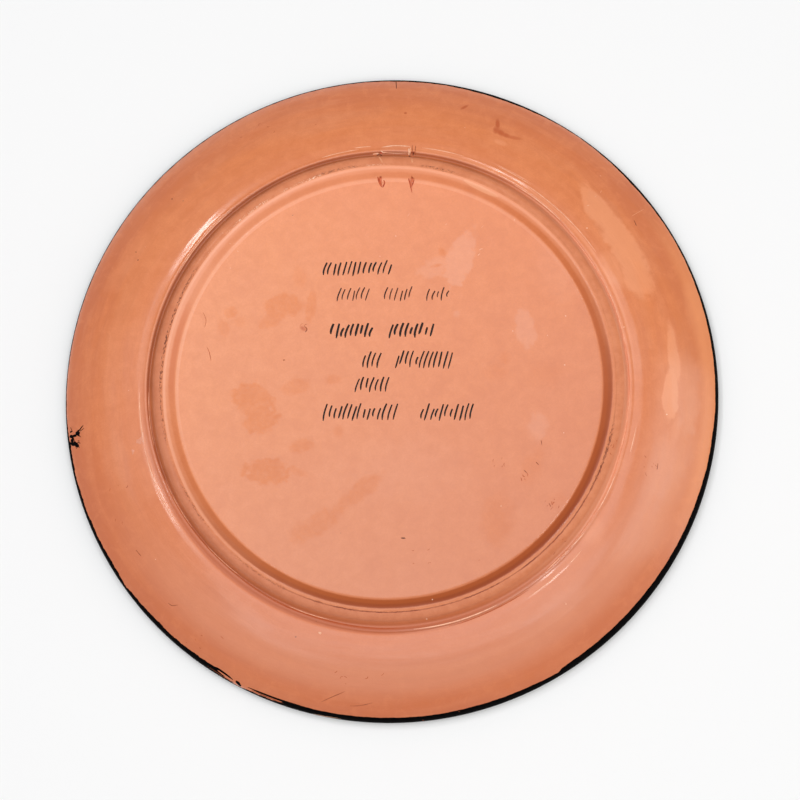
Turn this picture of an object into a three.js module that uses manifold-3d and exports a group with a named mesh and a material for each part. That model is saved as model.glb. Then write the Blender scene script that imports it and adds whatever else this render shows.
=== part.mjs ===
// Terracotta souvenir plate, lying face down on its rim.
// Millimetres, +Z up, origin on the floor under the middle of the plate.
// The back is up: a recessed base inside a foot ring, a channel with a double
// bead around the ring, and a broad flange that curves down to a rolled rim.
// The front, a shallow well with the flange around it, faces the floor.
import * as THREE from 'three';
import { mergeVertices } from 'three/addons/utils/BufferGeometryUtils.js';
import Module from 'manifold-3d';

// ---- driving dimensions --------------------------------------------------
const RIM_RADIUS = 140;          // outside of the rolled rim
const HEIGHT = 25.4;             // floor to the top of the foot ring
const WALL = 5.6;                // thickness of base and flange
const ROUND_SEGMENTS = 96;       // facets around the axis

const RIM_ROLL = 2.9;            // radius of the rolled rim
const LIP_FLAT = 1.7;            // width of the flat the plate rests on
const RIM_STEPS = 5;

const FOOT_INNER = 94.9;         // worn flat on top of the foot ring
const FOOT_OUTER = 98.6;
const RECESS_DEPTH = 3.0;        // base below the top of the ring
const RECESS_RADIUS = 88.8;      // flat of the base
const COVE_STEPS = 4;            // hollow curve from base to ring

const CHANNEL_DEPTH = 4.5;       // channel below the top of the ring
const CHANNEL_RADIUS = 100.9;
const FIRST_RIDGE = { r: 102.2, up: 0.75 };   // fine ridges above the channel
const RIDGE_GROOVE = { r: 103.2, up: 0.45 };
const SECOND_RIDGE = { r: 104.5, up: 0.85 };

const FLANGE_START = { r: 105.8, z: 21.1 };   // where the broad flange begins
const FLANGE_START_SLOPE = 0.24;
const FLANGE_STEPS = 9;

const WELL_RADIUS = 88;          // flat of the well, on the front
const WELL_EDGE_RADIUS = 100;    // where the well meets the flange

const HOLE_RADIUS = 1.0;         // two hanging holes through the foot ring
const HOLE_X = [-3.3, 10.2];      // where each crosses the ring
const HOLE_OUT = { y: 101.9, z: 21.45 };      // mouth in the channel
const HOLE_IN = { y: 84.4, z: 23.62 };        // runs out over the base edge
const HOLE_SIDES = 12;

const CLAY_COLOUR = 0xd98a63;

// ---- profile -------------------------------------------------------------
const baseTop = HEIGHT - RECESS_DEPTH;
const channelZ = HEIGHT - CHANNEL_DEPTH;
const rollCentre = { r: RIM_RADIUS - RIM_ROLL, z: RIM_ROLL };

// The back of the flange falls as a parabola from FLANGE_START and runs into
// the rolled rim without a kink: its end slope is found by a short iteration.
function flangeEnd() {
  let slope = 0.7;
  let end;
  for (let i = 0; i < 40; i++) {
    const a = Math.PI / 2 - Math.atan(slope);
    end = {
      r: rollCentre.r + RIM_ROLL * Math.cos(a),
      z: rollCentre.z + RIM_ROLL * Math.sin(a),
      a,
    };
    const run = end.r - FLANGE_START.r;
    const bend = (FLANGE_START.z - end.z - FLANGE_START_SLOPE * run) / (run * run);
    slope = FLANGE_START_SLOPE + 2 * bend * run;
    end.bend = bend;
  }
  return end;
}
const END = flangeEnd();

function flangeBack(r) {
  const s = r - FLANGE_START.r;
  return FLANGE_START.z - FLANGE_START_SLOPE * s - END.bend * s * s;
}

// The front of the flange keeps the wall's thickness, measured square to the back.
function flangeFront(r) {
  const slope = FLANGE_START_SLOPE + 2 * END.bend * Math.max(0, r - FLANGE_START.r);
  return flangeBack(r) - WALL * Math.hypot(1, slope);
}

function plateProfile() {
  const p = [];
  const add = (r, z) => p.push(new THREE.Vector2(r, z));

  // back of the base, then the hollow wall of the recess up to the ring
  add(0, baseTop);
  add(RECESS_RADIUS, baseTop);
  const coveEnd = { r: FOOT_INNER - 1.6, z: HEIGHT - 0.75 };
  for (let i = 1; i <= COVE_STEPS; i++) {
    const t = i / COVE_STEPS;
    add(RECESS_RADIUS + (coveEnd.r - RECESS_RADIUS) * t, baseTop + (coveEnd.z - baseTop) * Math.pow(t, 1.7));
  }
  add(FOOT_INNER - 0.75, HEIGHT - 0.18);

  // worn flat of the foot ring and its outer slope down to the channel
  add(FOOT_INNER, HEIGHT);
  add(FOOT_OUTER, HEIGHT);
  add(FOOT_OUTER + 0.7, HEIGHT - 0.8);
  add(CHANNEL_RADIUS - 0.65, channelZ + 1.1);
  add(CHANNEL_RADIUS - 0.1, channelZ + 0.15);
  add(CHANNEL_RADIUS + 0.45, channelZ);

  // double bead
  add(FIRST_RIDGE.r, channelZ + FIRST_RIDGE.up);
  add(RIDGE_GROOVE.r, channelZ + RIDGE_GROOVE.up);
  add(SECOND_RIDGE.r, channelZ + SECOND_RIDGE.up);

  // back of the flange
  for (let i = 0; i < FLANGE_STEPS; i++) {
    const r = FLANGE_START.r + (END.r - FLANGE_START.r) * (i / FLANGE_STEPS);
    add(r, flangeBack(r));
  }

  // rolled rim, down to the flat lip on the floor
  for (let i = 0; i <= RIM_STEPS; i++) {
    const a = END.a + (-Math.PI / 2 - END.a) * (i / RIM_STEPS);
    add(rollCentre.r + RIM_ROLL * Math.cos(a), rollCentre.z + RIM_ROLL * Math.sin(a));
  }
  const lipIn = rollCentre.r - LIP_FLAT;
  add(lipIn, 0);

  // front of the flange, from the lip up to the well
  add(lipIn - 1.1, 0.55);
  for (let i = 1; i <= FLANGE_STEPS; i++) {
    const r = lipIn - 2.4 + (FLANGE_START.r - lipIn + 2.4) * ((i - 1) / (FLANGE_STEPS - 1));
    add(r, flangeFront(r));
  }
  const wellZ = baseTop - WALL;
  const edgeZ = flangeFront(FLANGE_START.r) + (wellZ - flangeFront(FLANGE_START.r)) * 0.5;
  add(WELL_EDGE_RADIUS, edgeZ);
  add((WELL_EDGE_RADIUS + WELL_RADIUS) / 2, wellZ - 0.22);
  add(WELL_RADIUS, wellZ);
  add(0, wellZ);
  return p;
}

// ---- closed meshes for joining and cutting --------------------------------
const wasm = await Module();
wasm.setup();

function toSolid(geometry) {
  const g = geometry.clone();
  g.deleteAttribute('normal');
  g.deleteAttribute('uv');
  const merged = mergeVertices(g, 1e-4);
  const index = merged.index.array;
  const tris = [];
  for (let i = 0; i < index.length; i += 3) {
    const [a, b, c] = [index[i], index[i + 1], index[i + 2]];
    if (a !== b && b !== c && c !== a) tris.push(a, b, c);
  }
  return new wasm.Manifold(new wasm.Mesh({
    numProp: 3,
    vertProperties: new Float32Array(merged.attributes.position.array),
    triVerts: new Uint32Array(tris),
  }));
}

function toGeometry(solid) {
  const mesh = solid.getMesh();
  const g = new THREE.BufferGeometry();
  g.setAttribute('position', new THREE.BufferAttribute(new Float32Array(mesh.vertProperties), 3));
  g.setIndex(new THREE.BufferAttribute(new Uint32Array(mesh.triVerts), 1));
  g.computeVertexNormals();
  return g;
}

// The profile runs outwards over the back and home over the front, so it is
// reversed to give faces that point out of the clay.
function plateBlank() {
  const g = new THREE.LatheGeometry(plateProfile().reverse(), ROUND_SEGMENTS);
  g.rotateX(Math.PI / 2);
  return g;
}

function hangingHole(x) {
  const from = new THREE.Vector3(x, HOLE_OUT.y, HOLE_OUT.z);
  const to = new THREE.Vector3(x, HOLE_IN.y, HOLE_IN.z);
  const along = to.clone().sub(from);
  const g = new THREE.CylinderGeometry(HOLE_RADIUS, HOLE_RADIUS, along.length(), HOLE_SIDES);
  const turn = new THREE.Quaternion().setFromUnitVectors(new THREE.Vector3(0, 1, 0), along.clone().normalize());
  g.applyQuaternion(turn);
  const mid = from.clone().add(to).multiplyScalar(0.5);
  g.translate(mid.x, mid.y, mid.z);
  return g;
}

let clay = toSolid(plateBlank());
for (const x of HOLE_X) clay = clay.subtract(toSolid(hangingHole(x)));

// ---- scene graph ----------------------------------------------------------
const object = new THREE.Group();
object.name = 'terracotta_plate';

const plate = new THREE.Mesh(
  toGeometry(clay),
  new THREE.MeshStandardMaterial({ color: CLAY_COLOUR, roughness: 0.38, metalness: 0 }),
);
plate.name = 'plate';
object.add(plate);

export default object;
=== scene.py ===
import bpy
import bmesh
import math
import random
import numpy as np
from mathutils import Matrix, Vector
from mathutils.bvhtree import BVHTree


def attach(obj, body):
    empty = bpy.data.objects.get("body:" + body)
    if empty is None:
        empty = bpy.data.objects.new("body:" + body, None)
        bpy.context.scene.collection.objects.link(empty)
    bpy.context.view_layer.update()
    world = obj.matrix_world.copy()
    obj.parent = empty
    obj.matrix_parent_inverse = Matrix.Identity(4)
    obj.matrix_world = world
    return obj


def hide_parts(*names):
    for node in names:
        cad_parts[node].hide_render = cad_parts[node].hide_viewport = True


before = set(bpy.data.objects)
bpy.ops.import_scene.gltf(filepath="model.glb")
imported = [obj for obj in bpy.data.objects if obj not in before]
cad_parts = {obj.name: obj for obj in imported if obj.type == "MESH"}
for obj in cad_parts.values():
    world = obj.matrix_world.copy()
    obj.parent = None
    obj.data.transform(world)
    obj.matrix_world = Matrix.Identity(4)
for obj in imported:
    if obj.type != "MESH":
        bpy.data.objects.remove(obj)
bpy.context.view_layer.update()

rng = random.Random(7515)
scene = bpy.context.scene
MM = 0.001
TAU = 2 * math.pi

# ---------------------------------------------------------------- camera
# The viewing direction, distance and field of view, from the outline of the
# rim and the place of the foot ring in an 800 x 800 picture.
DISTANCE, TILT, HEADING = 1000.0, 10.713, 283.998
AIM = np.array([4.231, -2.751, 2.9])
FOCAL_PX = 2334.51
SIDE_PX = 800.0
_t, _a = math.radians(TILT), math.radians(HEADING)
BACK = np.array([math.sin(_t) * math.cos(_a), math.sin(_t) * math.sin(_a), math.cos(_t)])
EYE = AIM + BACK * DISTANCE
UP = np.array([0.0, 1.0, 0.0]) - BACK * BACK[1]
UP /= np.linalg.norm(UP)
RIGHT = np.cross(UP, BACK)

cam_data = bpy.data.cameras.new("camera")
cam_data.sensor_width = 36.0
cam_data.lens = FOCAL_PX * 36.0 / SIDE_PX
cam_data.clip_start, cam_data.clip_end = 0.05, 20.0
cam = bpy.data.objects.new("camera", cam_data)
scene.collection.objects.link(cam)
cam.matrix_world = Matrix((
    (RIGHT[0], UP[0], BACK[0], EYE[0] * MM),
    (RIGHT[1], UP[1], BACK[1], EYE[1] * MM),
    (RIGHT[2], UP[2], BACK[2], EYE[2] * MM),
    (0, 0, 0, 1)))
scene.camera = cam

# ---------------------------------------------------------------- profile
RIM_R, HEIGHT, WALL = 140.0, 25.4, 5.6
ROLL = 2.9
BASE_Z = HEIGHT - 3.0
COVE_IN = 89.2                    # where the base starts to rise
RING_TOP = HEIGHT - 0.04          # leaves room for the specks on it
RING_IN, RING_OUT = 94.9, 98.6    # worn top of the foot ring
CHANNEL_Z = HEIGHT - 4.5
FLANGE_R, FLANGE_Z, FLANGE_SLOPE = 105.8, 21.1, 0.24
CREST_R, CREST_Z = 102.2, 21.80   # inner edge of the bead, above the channel


def flange_end():
    slope = 0.7
    for _ in range(40):
        a = math.pi / 2 - math.atan(slope)
        r, z = RIM_R - ROLL + ROLL * math.cos(a), ROLL + ROLL * math.sin(a)
        run = r - FLANGE_R
        bend = (FLANGE_Z - z - FLANGE_SLOPE * run) / run ** 2
        slope = FLANGE_SLOPE + 2 * bend * run
    return r, z, a, bend


END_R, END_Z, END_A, BEND = flange_end()


def flange_back(r):
    s = r - FLANGE_R
    return FLANGE_Z - FLANGE_SLOPE * s - BEND * s * s


def flange_front(r):
    s = max(0.0, r - FLANGE_R)
    return flange_back(r) - WALL * math.hypot(1, FLANGE_SLOPE + 2 * BEND * s)


def hermite(p0, p1, m0, m1, n):
    """n points after p0 up to p1 on a curve with end slopes dz/dr of m0 and m1."""
    (r0, z0), (r1, z1) = p0, p1
    d = r1 - r0
    out = []
    for i in range(1, n + 1):
        t = i / n
        h = (2 * t ** 3 - 3 * t ** 2 + 1, t ** 3 - 2 * t ** 2 + t, -2 * t ** 3 + 3 * t ** 2, t ** 3 - t ** 2)
        out.append((r0 + d * t, h[0] * z0 + h[1] * d * m0 + h[2] * z1 + h[3] * d * m1))
    return out


def back_profile():
    p = [(0.0, BASE_Z)]
    p += [(r, BASE_Z) for r in (12, 26, 40, 54, 67, 77, 83.5, 87.2, 88.5)]
    p += [(COVE_IN, BASE_Z + 0.003)]
    p += hermite(p[-1], (90.8, BASE_Z + 0.66), 0.015, 0.78, 7)
    p += [(91.6, BASE_Z + 1.27), (92.4, BASE_Z + 1.86), (93.1, BASE_Z + 2.35)]
    p += hermite(p[-1], (94.5, RING_TOP - 0.06), 0.66, 0.14, 6)
    p += [(RING_IN, RING_TOP), (95.5, RING_TOP), (96.3, RING_TOP - 0.01)]
    p += hermite(p[-1], (99.0, RING_TOP - 1.20), -0.05, -1.0, 7)
    p += hermite(p[-1], (101.1, CHANNEL_Z + 0.05), -1.3, 0.0, 8)
    p += hermite(p[-1], (CREST_R, CREST_Z), 0.15, 0.30, 6)
    p += hermite(p[-1], (102.95, CREST_Z + 0.0), 0.30, -0.25, 6)
    p += hermite(p[-1], (103.7, flange_back(103.7) - 0.06), -0.26, -0.25, 6)
    p += hermite(p[-1], (107.4, flange_back(107.4)), -0.25, -FLANGE_SLOPE - 2 * BEND * 1.6, 19)
    n = 17
    for i in range(1, n + 1):
        r = 107.4 + (END_R - 107.4) * i / n
        p.append((r, flange_back(r)))
    return p


def roll_profile(n=9):
    """From the end of the flange round the rim to the flat it rests on."""
    out = []
    for i in range(1, n + 1):
        a = END_A + (-math.pi / 2 - END_A) * i / n
        out.append((RIM_R - ROLL + ROLL * math.cos(a), ROLL + ROLL * math.sin(a)))
    return out


def front_profile():
    lip_in = RIM_R - ROLL - 1.7
    p = [(lip_in, 0.0), (lip_in - 0.5, 0.12), (lip_in - 1.1, 0.55)]
    n = 11
    for i in range(n):
        r = lip_in - 2.4 + (FLANGE_R - lip_in + 2.4) * i / (n - 1)
        p.append((r, flange_front(r)))
    well = BASE_Z - WALL
    m0 = (p[-2][1] - p[-1][1]) / (p[-2][0] - p[-1][0])
    p += hermite(p[-1], (88.0, well), m0, 0.0, 7)
    p += [(r, well) for r in (72, 48, 20)]
    p.append((0.0, well))
    return p


BACK_P, ROLL_P, FRONT_P = back_profile(), roll_profile(), front_profile()
_br = np.array([r for r, z in BACK_P + ROLL_P[:6]])
_bz = np.array([z for r, z in BACK_P + ROLL_P[:6]])
SKIN = []                         # filled with the finished clay surface, in mm


def on_back(px, py):
    """The point of the plate's back under a point of the 800 x 800 picture."""
    d = RIGHT * (px - 400) / FOCAL_PX + UP * (400 - py) / FOCAL_PX - BACK
    if SKIN:
        hit = SKIN[0].ray_cast(Vector(EYE), Vector(d).normalized())
        if hit[0] is not None:
            return np.array(hit[0])
    z, p = 22.0, None
    for _ in range(30):
        p = EYE + d * ((z - EYE[2]) / d[2])
        z = 0.5 * z + 0.5 * float(np.interp(math.hypot(p[0], p[1]), _br, _bz))
    if SKIN:
        p = np.array(SKIN[0].find_nearest(Vector(p))[0])
    return p


def back_normal(x, y):
    """The clay's normal at a plan position, averaged over a small cross."""
    n = Vector((0, 0, 0))
    for dx, dy in ((0, 0), (0.3, 0), (-0.3, 0), (0, 0.3), (0, -0.3)):
        hit = SKIN[0].ray_cast(Vector((x + dx, y + dy, 60.0)), Vector((0, 0, -1)))
        if hit[0] is not None:
            n += hit[1]
    if n.length < 1e-6:
        n = Vector((x, y, 30.0))
    return np.array(n.normalized())


# ---------------------------------------------------------------- node helper
def srgb(r, g, b):
    f = lambda c: c / 12.92 if c <= 0.04045 else ((c + 0.055) / 1.055) ** 2.4
    return (f(r / 255), f(g / 255), f(b / 255), 1.0)


class Tree:
    def __init__(self, name):
        self.mat = bpy.data.materials.new(name)
        self.mat.use_nodes = True
        self.nt = self.mat.node_tree
        self.nt.nodes.clear()
        self.out = self.nt.nodes.new("ShaderNodeOutputMaterial")

    def put(self, socket, value):
        if isinstance(value, bpy.types.NodeSocket):
            self.nt.links.new(value, socket)
        else:
            socket.default_value = value

    def new(self, kind, **settings):
        n = self.nt.nodes.new(kind)
        for k, v in settings.items():
            setattr(n, k, v)
        return n

    def math(self, op, a, b=0.0, c=0.0, clamp=False):
        n = self.new("ShaderNodeMath", operation=op, use_clamp=clamp)
        self.put(n.inputs[0], a)
        self.put(n.inputs[1], b)
        self.put(n.inputs[2], c)
        return n.outputs[0]

    def add(self, a, b): return self.math("ADD", a, b)
    def sub(self, a, b): return self.math("SUBTRACT", a, b)
    def mul(self, a, b): return self.math("MULTIPLY", a, b)
    def inv(self, a): return self.math("SUBTRACT", 1.0, a)

    def vmath(self, op, a, b=(0, 0, 0), scale=None):
        n = self.new("ShaderNodeVectorMath", operation=op)
        self.put(n.inputs[0], a)
        self.put(n.inputs[1], b)
        if scale is not None:
            self.put(n.inputs["Scale"], scale)
        return n.outputs["Value"] if op in ("LENGTH", "DISTANCE", "DOT_PRODUCT") else n.outputs["Vector"]

    def xyz(self, v):
        n = self.new("ShaderNodeSeparateXYZ")
        self.put(n.inputs[0], v)
        return n.outputs

    def combine(self, x, y, z):
        n = self.new("ShaderNodeCombineXYZ")
        for i, v in enumerate((x, y, z)):
            self.put(n.inputs[i], v)
        return n.outputs[0]

    def noise(self, v, scale, detail=2.0, rough=0.5, dist=0.0):
        n = self.new("ShaderNodeTexNoise")
        self.put(n.inputs["Vector"], v)
        self.put(n.inputs["Scale"], scale)
        self.put(n.inputs["Detail"], detail)
        self.put(n.inputs["Roughness"], rough)
        self.put(n.inputs["Distortion"], dist)
        return n.outputs["Fac"]

    def cells(self, v, scale):
        n = self.new("ShaderNodeTexVoronoi")
        self.put(n.inputs["Vector"], v)
        self.put(n.inputs["Scale"], scale)
        return n.outputs["Distance"], n.outputs["Color"]

    def smooth(self, x, lo, hi, a=0.0, b=1.0):
        n = self.new("ShaderNodeMapRange", interpolation_type="SMOOTHSTEP")
        self.put(n.inputs["Value"], x)
        for k, v in zip(("From Min", "From Max", "To Min", "To Max"), (lo, hi, a, b)):
            self.put(n.inputs[k], v)
        return n.outputs["Result"]

    def band(self, x, lo, hi, soft):
        return self.mul(self.smooth(x, lo - soft, lo + soft), self.smooth(x, hi - soft, hi + soft, 1.0, 0.0))

    def mix(self, fac, a, b, blend="MIX"):
        n = self.new("ShaderNodeMix", data_type="RGBA", blend_type=blend)
        self.put(n.inputs[0], fac)
        self.put(n.inputs[6], a)
        self.put(n.inputs[7], b)
        return n.outputs[2]

    def mixf(self, fac, a, b):
        n = self.new("ShaderNodeMix", data_type="FLOAT")
        self.put(n.inputs[0], fac)
        self.put(n.inputs[2], a)
        self.put(n.inputs[3], b)
        return n.outputs[0]

    def ramp(self, fac, stops):
        n = self.new("ShaderNodeValToRGB")
        self.put(n.inputs[0], fac)
        e = n.color_ramp.elements
        while len(e) > 1:
            e.remove(e[-1])
        e[0].position, e[0].color = stops[0]
        for pos, col in stops[1:]:
            k = e.new(pos)
            k.color = col
        return n.outputs[0]

    def by_angle(self, x, y, table, lo, hi):
        """A value by angle from a table of degrees and values between lo and hi."""
        turn = self.math("FRACT", self.math("MULTIPLY_ADD", self.math("ARCTAN2", y, x), 1 / TAU, 1.0))
        stops = [(d / 360.0, ((v - lo) / (hi - lo),) * 3 + (1.0,)) for d, v in table]
        return self.math("MULTIPLY_ADD", self.ramp(turn, stops), hi - lo, lo)

    def ellipse(self, p, centre, radii, turn):
        """Distance from an ellipse's centre, 1 at its edge."""
        n = self.new("ShaderNodeMapping", vector_type="TEXTURE")
        self.put(n.inputs["Vector"], p)
        n.inputs["Location"].default_value = (centre[0], centre[1], 0)
        n.inputs["Rotation"].default_value = (0, 0, turn)
        n.inputs["Scale"].default_value = (radii[0], radii[1], 1e6)
        return self.vmath("LENGTH", n.outputs[0])

    def surface(self, colour, rough, bump=None, depth=0.0002, **plain):
        s = self.new("ShaderNodeBsdfPrincipled")
        self.put(s.inputs["Base Color"], colour)
        self.put(s.inputs["Roughness"], rough)
        for k, v in plain.items():
            self.put(s.inputs[k.replace("_", " ")], v)
        if bump is not None:
            b = self.new("ShaderNodeBump")
            self.put(b.inputs["Strength"], 1.0)
            self.put(b.inputs["Distance"], depth)
            self.put(b.inputs["Height"], bump)
            self.nt.links.new(b.outputs[0], s.inputs["Normal"])
        self.nt.links.new(s.outputs[0], self.out.inputs[0])
        return s


# ---------------------------------------------------------------- clay finish
def stain_px(cx, cy, rx, ry, turn_deg):
    """An ellipse of the picture as centre, radii and turn on the plate's back, in mm."""
    c = on_back(cx, cy)
    return (c[0], c[1]), (rx * 0.424, ry * 0.429), math.radians(turn_deg)


# Dull patches where the varnish is thin, and glossy ones where it is thick:
# centre, radii and turn in picture points, softness of the edge, strength.
DULL = (
    (284, 306, 20, 12, 12, 0.20, 0.9), (268, 322, 12, 7, 20, 0.25, 0.7), (311, 308, 5, 17, -8, 0.3, 0.75),
    (300, 277, 6, 11, 5, 0.4, 0.45), (231, 312, 6, 6, 0, 0.2, 0.8), (224, 329, 7, 9, 30, 0.35, 0.55), (240, 322, 6, 5, 0, 0.4, 0.4),
    (253, 400, 22, 17, -12, 0.14, 1.0), (262, 421, 19, 13, 20, 0.16, 1.0), (297, 386, 15, 8, 12, 0.3, 0.7), (333, 379, 9, 5, 10, 0.35, 0.6),
    (301, 447, 13, 7, 20, 0.3, 0.75), (339, 432, 5, 7, 10, 0.35, 0.6),
    (268, 470, 27, 13, -2, 0.14, 1.0), (298, 472, 11, 4, -16, 0.4, 0.6),
    (361, 491, 28, 9, 36, 0.25, 0.75), (318, 524, 29, 11, 34, 0.28, 0.7), (300, 533, 8, 12, 10, 0.35, 0.5),
    (497, 518, 15, 27, -8, 0.5, 0.55), (508, 506, 9, 12, 20, 0.4, 0.4), (505, 358, 6, 6, 0, 0.5, 0.5), (533, 466, 9, 20, -22, 0.5, 0.35),
    (558, 500, 10, 7, 20, 0.5, 0.4), (548, 373, 20, 14, 0, 0.6, 0.25), (496, 372, 12, 9, 0, 0.6, 0.3),
    (442, 252, 3.5, 5, 30, 0.5, 0.9), (436, 266, 6, 1.8, 12, 0.5, 0.8),
    (560, 150, 60, 7, -30, 0.5, 0.5), (150, 185, 60, 8, 45, 0.5, 0.5), (105, 300, 9, 60, -18, 0.5, 0.5),
    (98, 430, 8, 50, 2, 0.5, 0.5), (645, 285, 6, 26, 22, 0.4, 0.6), (584, 260, 5, 42, 12, 0.5, 0.45),
    (250, 640, 70, 8, -28, 0.5, 0.45), (460, 690, 90, 9, 14, 0.5, 0.45), (240, 118, 70, 7, 24, 0.5, 0.4))
GLOSSY = (
    (460, 258, 13, 30, -20, 0.16, 1.0), (434, 268, 17, 10, 32, 0.25, 0.7), (525, 329, 10, 18, 10, 0.2, 0.85), (538, 427, 10, 14, -10, 0.3, 0.7),
    (457, 314, 3.5, 3.5, 0, 0.4, 0.7), (557, 270, 22, 30, 20, 0.6, 0.3), (400, 470, 70, 30, 0, 0.7, 0.25),
    (608, 222, 15, 36, 24, 0.16, 0.7), (633, 262, 26, 34, 20, 0.35, 0.6), (684, 380, 15, 58, 2, 0.4, 0.8), (640, 340, 12, 36, -4, 0.4, 0.4),
    (664, 470, 20, 40, -24, 0.5, 0.5), (330, 122, 70, 9, 14, 0.5, 0.5), (200, 178, 44, 9, 43, 0.5, 0.5), (128, 300, 9, 46, -22, 0.5, 0.5),
    (122, 470, 10, 46, 14, 0.5, 0.4), (230, 600, 50, 10, -38, 0.5, 0.4), (420, 668, 80, 12, 4, 0.5, 0.4), (560, 610, 50, 12, 40, 0.5, 0.5),
    (478, 190, 20, 4, -28, 0.3, 0.8), (396, 149, 15, 3.6, 0, 0.15, 1.0))
RUST = (
    (497.6, 124.0, 2.3, 7.0, 0, 0.45, 0.8), (496.4, 130.0, 3.4, 4.6, -15, 0.55, 0.75), (500.6, 132.6, 5.6, 3.2, -38, 0.55, 0.8), (505.6, 135.2, 6.4, 2.7, -24, 0.55, 0.75), (512.6, 137.4, 9.5, 2.1, -9, 0.6, 0.55),
    (464.5, 107.2, 4.6, 1.5, 38, 0.5, 0.8), (405.5, 113, 1.6, 1.2, 0, 0.4, 0.8), (380.6, 182, 1.6, 5.0, 12, 0.5, 0.8),
    (411, 183, 1.4, 4.6, 8, 0.5, 0.8), (303, 328.5, 4, 2, -30, 0.6, 0.7))
# lighter areas of the flange: those on the right are painted reflections, the rest lighter tone
PEACH = (
    (600, 213, 34, 11, -62, 0.25, 0.8), (624, 247, 44, 15, -57, 0.22, 0.85), (640, 279, 24, 14, -46, 0.25, 0.8), (612, 268, 20, 9, -68, 0.4, 0.5),
    (673, 352, 6, 30, 5, 0.25, 0.85), (670, 398, 8, 30, -3, 0.18, 1.0), (676, 430, 5, 14, -10, 0.5, 0.5), (696, 320, 8, 44, 12, 0.6, 0.45),
    (588, 530, 16, 12, 30, 0.5, 0.5), (128, 262, 10, 30, -32, 0.6, 0.4), (500, 142.5, 7, 3.2, -20, 0.5, 0.6), (611, 470, 8, 22, -30, 0.6, 0.4))


# how far the inner edge of the bead strays from a true circle, by angle
CREST_DRIFT = ((0, -0.8), (20, -0.9), (38, -0.7), (50, -0.1), (70, 0.0), (90, 0.1), (118, 0.0), (140, 0.2), (180, 0.0), (205, -0.4),
               (225, -0.7), (247, -0.1), (270, 0.7), (290, 0.8), (310, 0.3), (330, 0.0), (345, -0.6), (360, -0.8))

SEAM_R = 94.9                     # the base and the outer parts are two materials that meet here


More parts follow.
